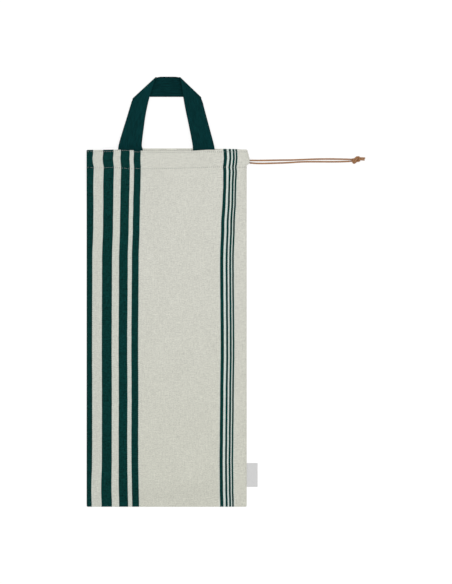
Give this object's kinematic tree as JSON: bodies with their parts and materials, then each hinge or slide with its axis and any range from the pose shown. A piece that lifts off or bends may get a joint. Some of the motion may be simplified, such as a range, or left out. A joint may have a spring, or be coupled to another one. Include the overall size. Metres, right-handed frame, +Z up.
{
  "type": "bread bag",
  "caption": "Long striped cotton bread bag lying flat on its back, with a strap handle, a drawcord casing at the mouth and a knotted drawcord.",
  "frame": {"origin": "middle of the back panel's resting face, on the surface the bag lies on", "axes": "+Y along the bag towards its mouth and handle, +X to the side that the drawcord leaves, +Z up from the surface, out of the front panel"},
  "size_m": [0.5201, 0.8022, 0.0182],
  "materials": {
    "striped_cotton": "natural off-white cotton twill with dark green woven stripes along its length, matt",
    "strap": "dark green cotton strap, twill weave, matt",
    "woven_label": "pale grey woven label, bare, soft satin",
    "drawcord": "tan leather cord, lightly polished"
  },
  "bodies": {
    "root": {"bag_body": "striped_cotton", "handle": "strap", "seam_label": "woven_label", "drawcord_run": "drawcord", "drawcord_upper": "drawcord", "drawcord_lower": "drawcord", "drawcord_knot": "drawcord"}
  },
  "joints": []
}
